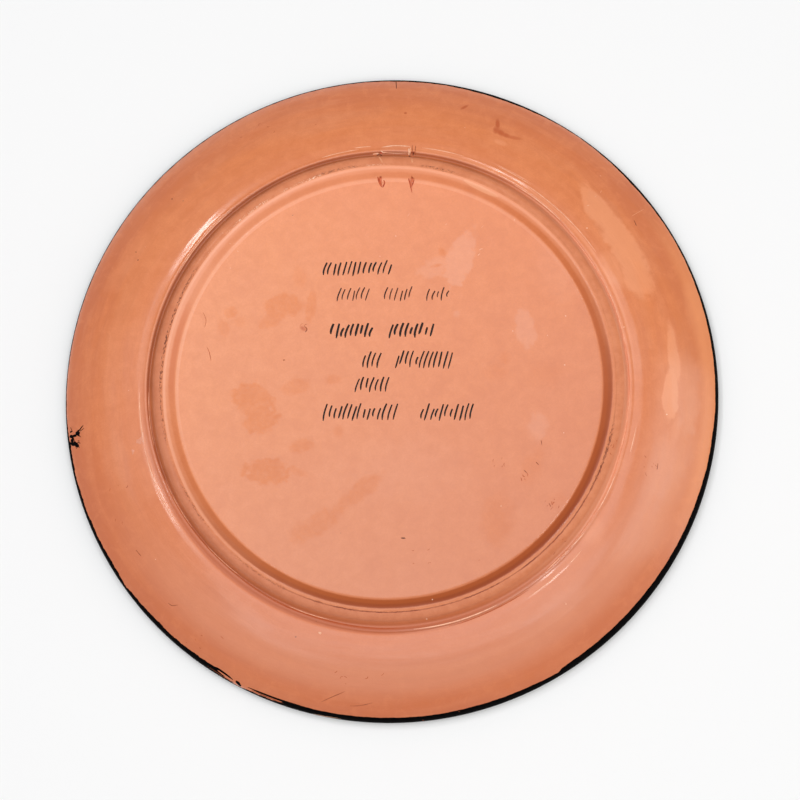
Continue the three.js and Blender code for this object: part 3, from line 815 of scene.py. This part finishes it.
def at_length(l):
    """Radius, height and outward normal of the edge profile at a length along it."""
    r, z = np.interp(l, fine_l, fine_r), np.interp(l, fine_l, fine_z)
    e = 0.05
    dr = np.interp(l + e, fine_l, fine_r) - np.interp(l - e, fine_l, fine_r)
    dz = np.interp(l + e, fine_l, fine_z) - np.interp(l - e, fine_l, fine_z)
    n = math.hypot(dr, dz) or 1.0
    return r, z, -dz / n, dr / n


def build_rim_glaze(n_turn=1440, n_len=14):
    verts, faces = [], []
    l_end = fine_l[-1]
    last = n_len
    for i in range(n_turn):
        deg = 360.0 * i / n_turn
        a = math.radians(deg)
        reach = float(np.interp(deg, _lt, _lw))
        shake = (0.10 * math.sin(deg * 1.7 + 1) + 0.07 * math.sin(deg * 4.3 + 0.4) + 0.05 * math.sin(deg * 9.1))
        if 186 < deg < 252:
            shake += 0.16 * math.sin(deg * 3.1) + 0.12 * math.sin(deg * 7.7 + 2)
        l0 = reach_to_length(a, reach + (shake if reach > 0 else shake * 0.3))
        c, s = math.cos(a), math.sin(a)
        for k in range(last + 1):                    # outer skin, thin at its free edge
            t = k / last
            l = l0 + (l_end - l0) * (t ** 1.25)
            r, z, nr, nz = at_length(l)
            into = l - l0
            thick = 0.02 + 0.12 * min(1.0, into / 0.5) ** 0.6
            off = thick - (tuck_at(r) if l < _el[_n_flange] else TUCK)
            verts.append(((r + nr * off) * c, (r + nr * off) * s, max(0.0, z + nz * off)))
        for k in range(last, -1, -1):                # the same surface, sunk into the clay
            t = k / last
            l = l0 + (l_end - l0) * (t ** 1.25)
            r, z, nr, nz = at_length(l)
            verts.append(((r - nr * 0.5) * c, (r - nr * 0.5) * s, z - nz * 0.5))
    m = 2 * (last + 1)
    for i in range(n_turn):
        j = (i + 1) % n_turn
        for k in range(m):
            q = (k + 1) % m
            faces.append((i * m + k, i * m + q, j * m + q, j * m + k))
    return mesh_object("rim_glaze", verts, faces, [RIM_BLACK])


rim = build_rim_glaze()

# ---------------------------------------------------------------- thin marks


def spline(points, step):
    """Catmull-Rom through the points, resampled about every step."""
    p = [np.array(q, float) for q in points]
    if len(p) == 2:
        n = max(2, int(np.linalg.norm(p[1] - p[0]) / step) + 1)
        return [p[0] + (p[1] - p[0]) * i / n for i in range(n + 1)]
    q = [2 * p[0] - p[1]] + p + [2 * p[-1] - p[-2]]
    out = []
    for i in range(1, len(q) - 2):
        n = max(2, int(np.linalg.norm(q[i + 1] - q[i]) / step) + 1)
        for k in range(n):
            t = k / n
            out.append(0.5 * ((2 * q[i]) + (-q[i - 1] + q[i + 1]) * t
                              + (2 * q[i - 1] - 5 * q[i] + 4 * q[i + 1] - q[i + 2]) * t * t
                              + (-q[i - 1] + 3 * q[i] - 3 * q[i + 1] + q[i + 2]) * t ** 3))
    out.append(p[-1])
    return out


class Marks:
    """Thin raised strokes that follow the plate's back, gathered into one mesh."""

    def __init__(self, name, materials):
        self.name, self.materials = name, materials
        self.verts, self.faces, self.mats = [], [], []

    def stroke(self, points_px, width_px, mat=0, lift=0.045, taper=(0.45, 0.3), step=0.9):
        path = [on_back(*q) for q in spline(points_px, step)]
        n = len(path)
        sides = 8
        first = len(self.verts)
        for i, p in enumerate(path):
            a, b = path[max(0, i - 1)], path[min(n - 1, i + 1)]
            d = b - a
            d /= np.linalg.norm(d) or 1.0
            nrm = back_normal(p[0], p[1])
            side = np.cross(d, nrm)
            side /= np.linalg.norm(side)
            t = i / (n - 1)
            w = width_px(t) if callable(width_px) else width_px
            k = min(1.0, taper[0] + (1 - taper[0]) * t * 5, taper[1] + (1 - taper[1]) * (1 - t) * 5)
            half = w * 0.424 * 0.5 * k
            for s in range(sides):
                ang = TAU * s / sides
                self.verts.append(p + side * (half * math.cos(ang)) + nrm * (lift * math.sin(ang)))
        for i in range(n - 1):
            for s in range(sides):
                u = (s + 1) % sides
                a, b = first + i * sides, first + (i + 1) * sides
                self.faces.append((a + s, b + s, b + u, a + u))
                self.mats.append(mat)
        self.faces.append(tuple(first + s for s in range(sides)))
        self.faces.append(tuple(first + (n - 1) * sides + s for s in reversed(range(sides))))
        self.mats += [mat, mat]

    def blob(self, cx, cy, rx, ry, turn_deg=0, mat=0, lift=0.06, ragged=0.18, n=20):
        c0, s0 = math.cos(math.radians(turn_deg)), math.sin(math.radians(turn_deg))
        first = len(self.verts)
        ph = [rng.uniform(0, TAU) for _ in range(3)]
        rings = ((1.0, -0.5), (0.97, 0.35), (0.6, 0.85))
        for k, h in rings:
            for i in range(n):
                a = TAU * i / n
                w = 1 + ragged * (0.6 * math.sin(2 * a + ph[0]) + 0.5 * math.sin(3 * a + ph[1]) + 0.4 * math.sin(5 * a + ph[2]))
                ex, ey = rx * w * k * math.cos(a), ry * w * k * math.sin(a)
                p = on_back(cx + ex * c0 - ey * s0, cy - (ex * s0 + ey * c0))
                self.verts.append(p + back_normal(p[0], p[1]) * lift * h)
        p = on_back(cx, cy)
        nrm = back_normal(p[0], p[1])
        top = len(self.verts)
        self.verts.append(p + nrm * lift)
        self.verts.append(p - nrm * lift * 0.6)
        for k in range(2):
            for i in range(n):
                j = (i + 1) % n
                self.faces.append((first + k * n + i, first + k * n + j, first + (k + 1) * n + j, first + (k + 1) * n + i))
                self.mats.append(mat)
        for i in range(n):
            j = (i + 1) % n
            self.faces.append((first + 2 * n + i, first + 2 * n + j, top)); self.mats.append(mat)
            self.faces.append((first + j, first + i, top + 1)); self.mats.append(mat)

    def done(self):
        ob = mesh_object(self.name, self.verts, self.faces, self.materials, self.mats)
        b = bmesh.new(); b.from_mesh(ob.data)
        bmesh.ops.recalc_face_normals(b, faces=b.faces)
        b.to_mesh(ob.data); b.free()
        return ob


# rows of separate slanting pen strokes on the base
pen = Marks("pen_strokes", [INK, INK_THIN])
ROWS = (
    # groups of (x from, x to), y top, y bottom, rise to the right, width, material
    (((323, 393),), 262.5, 276.5, 2.0, 1.7, 0),
    (((337, 372), (384, 413), (426, 454)), 287.5, 301.0, 1.5, 1.35, 1),
    (((330, 376), (389, 436)), 323.5, 338.0, 0.8, 2.2, 0),
    (((362, 381), (395, 453)), 351.0, 367.5, -1.0, 1.7, 0),
    (((355, 389),), 377.0, 392.0, 0.5, 1.7, 0),
    (((323, 397), (420, 474)), 404.0, 420.5, 0.5, 1.75, 0),
)
for groups, top, bottom, rise, width, mat in ROWS:
    tall = bottom - top
    for x0, x1 in groups:
        x = x0 + 2.2
        while x < x1 - 1.5:
            drop = -rise * (x - x0) / 60
            lean = rng.uniform(0.20, 0.34)
            a = top + tall * rng.choice((0.0, 0.0, 0.04, 0.12, 0.30)) + rng.uniform(-0.6, 0.6) + drop
            b = bottom - tall * rng.choice((0.0, 0.0, 0.05, 0.10, 0.24)) + rng.uniform(-0.6, 0.6) + drop
            bow = rng.uniform(-1.1, 0.1)
            h = b - a
            pts = [(x + lean * h * 0.5, a), (x + bow * 0.8 + lean * h * 0.17, a + h * 0.33),
                   (x + bow - lean * h * 0.17, a + h * 0.67), (x - lean * h * 0.5, b)]
            pen.stroke(pts, width * rng.uniform(0.88, 1.12), mat, 0.03, (0.85, 0.5), 0.7)
            x += rng.uniform(4.3, 5.6)
pen_ob = pen.done()

marks = Marks("surface_marks", [SCRATCH, PALE, DRIP, RIM_BLACK, DARK, BUFF, VARNISH_RIDGE_GLINT, BROWN, PALE_PATCH])
# pale patches beside the bead on the left
marks.blob(139.6, 440.6, 4.0, 2.6, 24, 8, 0.015, 0.42)
marks.blob(142.6, 437.4, 1.5, 5.4, 8, 8, 0.015, 0.3)
marks.blob(132.8, 451.5, 1.3, 2.4, 20, 8, 0.015, 0.42)
# black splashes at the left edge
for cx, cy, rx, ry, turn in ((77.6, 433.2, 3.4, 1.9, 50), (72.8, 436.3, 3.2, 2.0, 12), (74.9, 444.3, 4.1, 2.6, -32), (72.4, 440.0, 2.2, 1.8, 60),
                             (78.9, 435.6, 1.1, 0.8, 0), (71.0, 431.8, 1.0, 0.9, 0), (78.6, 441.0, 0.8, 0.5, 0)):
    marks.blob(cx, cy, rx, ry, turn, 3, 0.07, 0.34)
for pts, w in (([(77.6, 432.6), (79.8, 429.6), (83.2, 425.2)], 1.3), ([(79.5, 431.6), (82.4, 429.4), (84.2, 427.8)], 0.7), ([(76.0, 443.6), (78.4, 442.6), (80.4, 443.4)], 0.9),
               ([(76.2, 445.4), (78.4, 446.2), (79.6, 447.8)], 0.9), ([(75.2, 446.0), (76.2, 447.6), (76.6, 449.0)], 0.7), ([(73.0, 436.6), (74.0, 439.8), (74.8, 442.8)], 1.0),
               ([(72.6, 432.0), (71.4, 429.6), (70.6, 427.4)], 0.8), ([(77.8, 434.6), (79.8, 436.0), (80.6, 437.4)], 0.7)):
    marks.stroke(pts, w, 3, 0.05)
# broken inner line of black at the lower left
marks.stroke([(248, 687.4), (262, 693.3), (276, 698.6), (289, 703.0), (300, 706.2)], lambda t: 1.9 + 0.8 * t, 3, 0.06, (0.3, 0.8))
marks.blob(238.4, 683.4, 3.6, 1.5, -46, 3, 0.06, 0.12)
marks.blob(231.6, 681.8, 0.9, 0.6, -30, 3, 0.05)
marks.stroke([(213, 666.6), (219, 669.6), (226, 674.4), (233, 679.8)], lambda t: 3.0 - 1.2 * t, 3, 0.06, (0.5, 0.3))
marks.stroke([(224, 677.2), (229, 680.4), (233.6, 682.6)], 0.9, 3, 0.05, (0.4, 0.3))
# clay lines that show through the black
marks.stroke([(207, 665.2), (214, 670.2), (222, 675.6), (230, 680.4)], 0.9, 0, 0.16, (0.2, 0.3))
marks.stroke([(252, 690.4), (262, 694.9), (273, 699.4), (284, 703.4)], 1.1, 0, 0.16, (0.3, 0.2))
marks.stroke([(314, 713.7), (326, 716.2), (341, 718.3)], 0.9, 1, 0.17, (0.2, 0.2))
marks.blob(423, 720, 1.2, 0.5, 0, 0, 0.17)
marks.blob(459, 711.5, 1.0, 0.6, 20, 0, 0.15)
# ticks and scratches
marks.stroke([(396, 80.6), (396.2, 84), (396.5, 88.6)], 0.9, 4, 0.05, (0.9, 0.4))
for pts, w, m in (
        ([(634, 220), (636.5, 226)], 0.9, 0), ([(136, 550), (141, 556)], 0.8, 0),
        ([(168, 603), (172, 605.5), (178, 605)], 0.7, 0), ([(321, 702), (332, 697), (345, 691.5)], 0.7, 0),
        ([(350, 706), (360, 705.6), (372, 703)], 0.6, 0), ([(658, 463), (657, 470)], 0.7, 0), ([(632, 216), (644, 209)], 0.5, 5),
        ([(207, 347), (209.5, 353), (211, 361)], 0.6, 7), ([(304, 326), (307, 329), (305, 332.5)], 0.9, 0),
        ([(401, 538), (405.5, 538.2)], 1.2, 4), ([(541, 440), (542, 445)], 0.7, 0), ([(536, 462), (539, 465)], 0.8, 0),
        ([(524, 470), (527, 473)], 0.7, 0), ([(549, 503), (551, 507)], 0.7, 0),
        # the two pale strokes here are painted highlights along the bead on the lower right
        ([(571, 547), (577, 541), (584, 533)], 0.7, 1), ([(562, 556), (569, 550)], 0.6, 1),
        ([(203, 312), (206, 320), (204.5, 328)], 0.4, 7)):
    marks.stroke(pts, w, m, 0.03, (0.3, 0.25))
for cx, cy, k, m in ((172, 199, 0.7, 0), (138, 260, 0.8, 0), (587, 228, 0.7, 1), (624, 327, 0.8, 1), (320, 633, 1.5, 1),
                     (70, 355, 0.8, 3), (284, 360, 0.9, 0), (136, 252, 0.6, 0), (501, 506, 0.6, 1), (566, 604, 0.6, 1)):
    marks.blob(cx, cy, k, k * 0.8, 0, m, 0.03)
# red-brown runs under the inner mouths of the hanging holes
marks.stroke([(377.6, 176.8), (379.2, 181.2), (381.8, 187.0)], lambda t: 1.3 + 0.9 * math.sin(t * 3.1), 2, 0.04, (0.4, 0.4))
marks.stroke([(383.8, 180.0), (384.4, 183.4), (382.6, 187.6)], 1.3, 2, 0.04, (0.4, 0.4))
marks.stroke([(408.6, 178.4), (410.2, 184.2), (412.1, 193.2)], lambda t: 1.8 - 1.1 * t, 2, 0.04, (0.5, 0.3))
marks.stroke([(414.2, 179.4), (413.2, 182.8), (411.6, 186.6)], 1.1, 2, 0.04, (0.4, 0.3))
# pale dry glaze by the outer mouths, and lines left by the piercing tool
marks.stroke([(372.8, 154.2), (375.6, 153.8), (378.6, 153.4)], 1.9, 1, 0.06, (0.5, 0.4))
marks.stroke([(380.6, 150.6), (383.4, 152.6), (386.6, 152.2)], 1.3, 1, 0.05, (0.4, 0.3))
marks.stroke([(408.6, 148.4), (409.2, 151.6), (408.8, 155.2)], 1.6, 1, 0.05, (0.4, 0.4))
marks.stroke([(376.8, 155.6), (379.4, 154.6), (382.2, 155.8)], 1.5, 4, 0.05, (0.4, 0.4))
marks.blob(409.6, 156.2, 1.0, 0.7, 0, 4, 0.05)
marks.blob(413.4, 153.6, 0.7, 1.1, 0, 4, 0.05)
marks.stroke([(378.5, 156.4), (380.5, 159.0), (382.6, 163.0)], 1.6, 5, 0.02, (0.3, 0.3))
marks.stroke([(411.6, 158.2), (412.4, 162.6)], 1.8, 5, 0.02, (0.3, 0.3))
for pts, w, m in (([(412.2, 145.2), (412.4, 151), (413.0, 156.5)], 0.8, 0), ([(415.6, 145.8), (415.2, 151), (415.4, 155.5)], 0.7, 0),
                  ([(410.2, 147.4), (410.4, 153.6)], 0.8, 1), ([(382.4, 152.6), (396, 153.2), (409.8, 153.0)], 0.7, 1),
                  ([(381.6, 147.2), (395, 145.6), (410.4, 146.4)], 1.0, 1)):
    marks.stroke(pts, w, m, 0.03, (0.5, 0.5))


# scuffs: centre, spread, how many, direction in degrees, material
for cx, cy, sx, sy, n, way, m in (
        (552, 506, 9, 8, 9, 60, 7), (524, 476, 6, 6, 6, 110, 7), (502, 466, 7, 6, 5, 70, 7), (560, 545, 12, 6, 5, 45, 7), (300, 327, 5, 2, 3, 20, 7),
        (648, 466, 12, 10, 6, 120, 7), (612, 440, 8, 22, 5, 80, 7), (205, 640, 30, 14, 6, 150, 7), (330, 676, 50, 9, 6, 10, 7), (250, 130, 50, 12, 6, 25, 7),
        (470, 240, 60, 30, 5, 40, 6), (230, 250, 30, 30, 4, 130, 6), (600, 190, 22, 18, 4, 30, 6), (440, 560, 60, 20, 5, 15, 7), (120, 500, 18, 40, 6, 80, 7)):
    for _ in range(n):
        x0, y0 = cx + rng.gauss(0, 0.5) * sx, cy + rng.gauss(0, 0.5) * sy
        a, l = math.radians(way + rng.gauss(0, 18)), rng.uniform(1.2, 4.2)
        bow = rng.uniform(-0.25, 0.25) * l
        ex, ey = l * math.cos(a), -l * math.sin(a)
        marks.stroke([(x0, y0), (x0 + ex / 2 - ey / l * bow, y0 + ey / 2 + ex / l * bow), (x0 + ex, y0 + ey)], rng.uniform(0.35, 0.6), m, 0.02, (0.3, 0.3))


def picture_point(r, deg):
    """Where a point of the bead at a radius and angle shows in the picture."""
    a = math.radians(deg)
    hit = SKIN[0].ray_cast(Vector((r * math.cos(a), r * math.sin(a), 60.0)), Vector((0, 0, -1)))
    d = np.array(hit[0]) - EYE
    depth = -float(d @ BACK)
    return 400 + FOCAL_PX * float(d @ RIGHT) / depth, 400 - FOCAL_PX * float(d @ UP) / depth


# fine raised ridges along the bead, the pale ones coloured as painted glints: radius, from and to angle, width in
# picture points, material
for radius, a0, a1, w, m in (
        (102.1, 131, 151, 0.9, 6), (103.2, 133, 140, 0.6, 6), (101.9, 44, 58, 0.9, 6), (104.8, 33, 57, 0.7, 6), (101.1, 4, 40, 0.7, 6), (101.3, 9, 19, 0.9, 6),
        (104.0, 97, 106, 0.9, 6), (104.9, 94, 98, 0.9, 6), (104.9, 72, 82, 0.8, 6), (106.1, 55, 64, 0.7, 6),
        (101.2, 344, 358, 1.0, 6), (102.3, 328, 338, 0.8, 6), (105.3, 344, 350, 0.7, 6), (106.5, 303, 312, 0.8, 6), (106.5, 315, 319, 0.8, 6),
        (103.0, 276, 296, 1.0, 6), (102.1, 310, 315, 0.9, 6), (104.2, 284, 304, 0.8, 7), (101.9, 240, 274, 0.8, 7), (101.4, 203, 216, 1.0, 6), (101.0, 222, 232, 0.8, 6),
        (105.9, 194, 214, 0.8, 6), (105.4, 181, 193, 1.0, 6), (101.5, 181, 194, 0.8, 6), (101.2, 246, 256, 0.6, 6)):
    n = max(3, int((a1 - a0) / 3))
    pts = [picture_point(radius + 0.12 * math.sin(0.7 * k + a0), a0 + (a1 - a0) * k / n) for k in range(n + 1)]
    marks.stroke(pts, w, m, 0.05 if m == 6 else 0.02, (0.25, 0.25))
marks_ob = marks.done()

# ---------------------------------------------------------------- front, facing the floor
# A plain ornament in reserved clay on the black glaze of the well: rings, a
# square running line with dots in its bays, and a small rosette.
WELL_Z = BASE_Z - WALL


class Reserve:
    """Thin flat prisms lying against the well, gathered into one mesh."""

    def __init__(self):
        self.verts, self.faces = [], []

    def cells(self, filled, r_at, a_at):
        """Solid from a wrapped polar grid of filled cells; shared corners, closed all round."""
        rows, cols = filled.shape
        index = {}

        def v(i, j, k):
            j %= cols
            key = (i, j, k)
            if key not in index:
                index[key] = len(self.verts)
                r, a = r_at[i], a_at(j)
                self.verts.append((r * math.cos(a), r * math.sin(a), WELL_Z - 0.05 if k else WELL_Z + 0.3))
            return index[key]

        for i in range(rows):
            for j in range(cols):
                if not filled[i, j]:
                    continue
                for k in (0, 1):
                    q = (v(i, j, k), v(i + 1, j, k), v(i + 1, j + 1, k), v(i, j + 1, k))
                    self.faces.append(q if k == 0 else q[::-1])
                for di, dj, a, b in ((-1, 0, (i, j), (i, j + 1)), (1, 0, (i + 1, j + 1), (i + 1, j)),
                                     (0, -1, (i + 1, j), (i, j)), (0, 1, (i, j + 1), (i + 1, j + 1))):
                    ii, jj = i + di, (j + dj) % cols
                    if 0 <= ii < rows and filled[ii, jj]:
                        continue
                    self.faces.append((v(*a, 0), v(*b, 0), v(*b, 1), v(*a, 1)))

    def ring(self, r0, r1, n=192):
        self.cells(np.ones((1, n), bool), (r0, r1), lambda j: TAU * j / n)

    def leaf(self, angle, r0, r1, wide, n=14):
        pts = []
        for i in range(2 * n):
            t = i / n if i < n else (2 * n - i) / n
            side = 1 if i < n else -1
            r = r0 + (r1 - r0) * t
            w = side * wide * math.sin(math.pi * t ** 0.8)
            pts.append((r * math.cos(angle) - w * math.sin(angle), r * math.sin(angle) + w * math.cos(angle)))
        first, m = len(self.verts), len(pts)
        self.verts += [(x, y, WELL_Z + 0.3) for x, y in pts] + [(x, y, WELL_Z - 0.05) for x, y in pts]
        self.faces.append(tuple(first + i for i in range(m)))
        self.faces.append(tuple(first + m + i for i in reversed(range(m))))
        for i in range(m):
            j = (i + 1) % m
            self.faces.append((first + i, first + m + i, first + m + j, first + j))


front = Reserve()
for r0, r1 in ((85.0, 86.2), (71.2, 72.0), (23.6, 24.4)):
    front.ring(r0, r1)
UNITS, PER = 46, 8                # bays and grid columns to a bay
wave = np.zeros((5, UNITS * PER), bool)
for j in range(UNITS * PER):
    c = j % PER
    if c in (0, 4):
        wave[:, j] = True
    wave[4 if c in (1, 2, 3) else 0, j] |= c not in (0, 4)
    if c == 2:
        wave[1, j] = True
    if c == 6:
        wave[3, j] = True
front.cells(wave, [74.4 + 1.6 * i for i in range(6)], lambda j: TAU * j / (UNITS * PER))
for k in range(8):
    front.leaf(TAU * k / 8, 5.4, 20.5, 3.6)
    front.leaf(TAU * (k + 0.5) / 8, 9.5, 20.5, 1.1)
front.cells(np.ones((1, 48), bool), (1.2, 3.6), lambda j: TAU * j / 48)
front_ob = mesh_object("front_ornament", front.verts, front.faces, [RESERVED], smooth=False)
b = bmesh.new(); b.from_mesh(front_ob.data)
bmesh.ops.recalc_face_normals(b, faces=b.faces)
b.to_mesh(front_ob.data); b.free()

# ---------------------------------------------------------------- floor, light
floor_mat = Tree("pale_floor")
_fc = floor_mat.new("ShaderNodeTexCoord").outputs["Object"]
floor_mat.surface(floor_mat.mix(floor_mat.noise(_fc, 3.0), (0.905, 0.91, 0.915, 1), (0.915, 0.915, 0.915, 1)), 0.7)
bpy.ops.mesh.primitive_plane_add(size=12, location=(0, 0, 0))
floor = bpy.context.object
floor.name = "floor"
floor.data.materials.append(floor_mat.mat)

world = bpy.data.worlds.new("studio")
world.use_nodes = True
world.node_tree.nodes["Background"].inputs[0].default_value = (0.985, 0.99, 1.0, 1)
world.node_tree.nodes["Background"].inputs[1].default_value = 0.34
scene.world = world


def soft_box(name, heading, tilt, dist, size, glow, colour=(1, 1, 1)):
    """A panel facing the plate; glow is the radiance of its face."""
    h, t = math.radians(heading), math.radians(tilt)
    d = Vector((math.sin(t) * math.cos(h), math.sin(t) * math.sin(h), math.cos(t)))
    data = bpy.data.lights.new(name, "AREA")
    data.shape, data.size, data.size_y = "RECTANGLE", size[0], size[1]
    data.energy, data.color = glow * math.pi * size[0] * size[1], colour
    ob = bpy.data.objects.new(name, data)
    scene.collection.objects.link(ob)
    ob.location = d * dist
    ob.rotation_mode = "QUATERNION"
    ob.rotation_quaternion = d.to_track_quat("Z", "Y")
    return ob


def lamp_on(name, deg, r, slope, size, glow, dist=2.0):
    """A small lamp seen mirrored by an outward-facing slope of the bead at one angle and radius."""
    a = math.radians(deg)
    at = np.array([r * math.cos(a), r * math.sin(a), flange_back(r)])
    n = np.array([slope * math.cos(a), slope * math.sin(a), 1.0])
    n /= np.linalg.norm(n)
    v = (EYE - at) / np.linalg.norm(EYE - at)
    to_lamp = 2 * n * float(n @ v) - v
    ob = soft_box(name, 0, 0, 1.0, (size, size), glow)
    ob.location = Vector(at * MM + to_lamp * dist)
    ob.rotation_quaternion = Vector(to_lamp).to_track_quat("Z", "Y")


soft_box("overhead", 275, 7, 1.5, (2.0, 1.9), 1.33)
soft_box("right_panel", 355, 60, 1.8, (1.2, 1.2), 1.20, (1.0, 0.955, 0.88))
soft_box("left_panel", 172, 44, 1.9, (0.9, 1.3), 0.50)
# small lamps that catch the worn bead in a few places
lamp_on("left_lamp", 141, 104.7, 0.165, 0.22, 22.0)
lamp_on("top_lamp", 61, 104.3, 0.14, 0.14, 24.0)
lamp_on("west_lamp", 205, 106.2, 0.16, 0.12, 26.0)
lamp_on("lower_lamp", 311, 103.7, 0.15, 0.12, 34.0)

scene.view_settings.view_transform = "Standard"
scene.view_settings.look = "None"
scene.view_settings.exposure = 0.0

# ---------------------------------------------------------------- bodies
for ob in (plate, rim, pen_ob, marks_ob, front_ob):
    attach(ob, "root")
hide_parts("plate")

bpy.context.view_layer.update()
